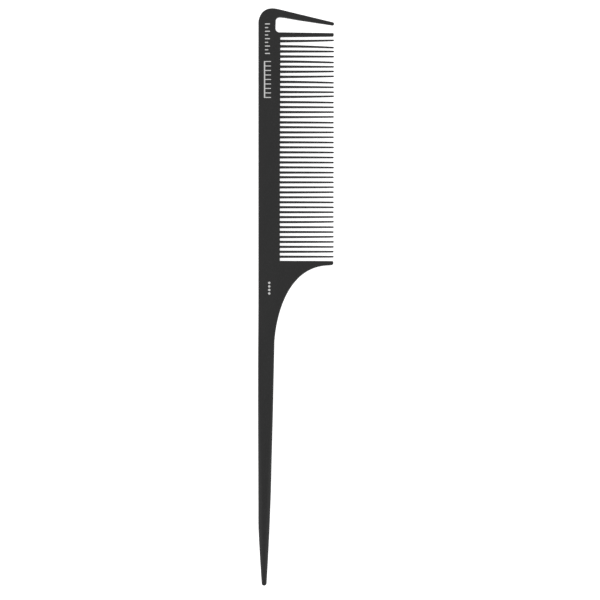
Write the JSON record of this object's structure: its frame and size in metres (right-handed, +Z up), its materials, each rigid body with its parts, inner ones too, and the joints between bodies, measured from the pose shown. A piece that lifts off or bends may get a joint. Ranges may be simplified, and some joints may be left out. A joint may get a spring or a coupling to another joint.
{
  "type": "rat tail comb",
  "caption": "Slim hairdressing comb with one row of fine teeth, a slanting sectioning hook at the head and a long pointed tail handle.",
  "frame": {"origin": "centre of the footprint, on the flat surface that the comb lies on", "axes": "+Y along the comb from the tail point to the head, +X from the back of the spine to the tooth tips, +Z up out of the printed front face"},
  "size_m": [0.03, 0.2292, 0.0031],
  "materials": {
    "comb_body": "dark grey carbon-filled plastic, moulded matt with a fine fibre fleck",
    "print_ink": "thin white pad-printed ink"
  },
  "bodies": {
    "root": {"spine": "comb_body", "head": "comb_body", "sectioning_hook": "comb_body", "head_guard_tooth": "comb_body", "fine_teeth": "comb_body", "heel": "comb_body", "tail": "comb_body", "tail_tip": "comb_body", "print_comb_icon": "print_ink", "print_graduation": "print_ink", "print_dots": "print_ink"}
  },
  "joints": []
}
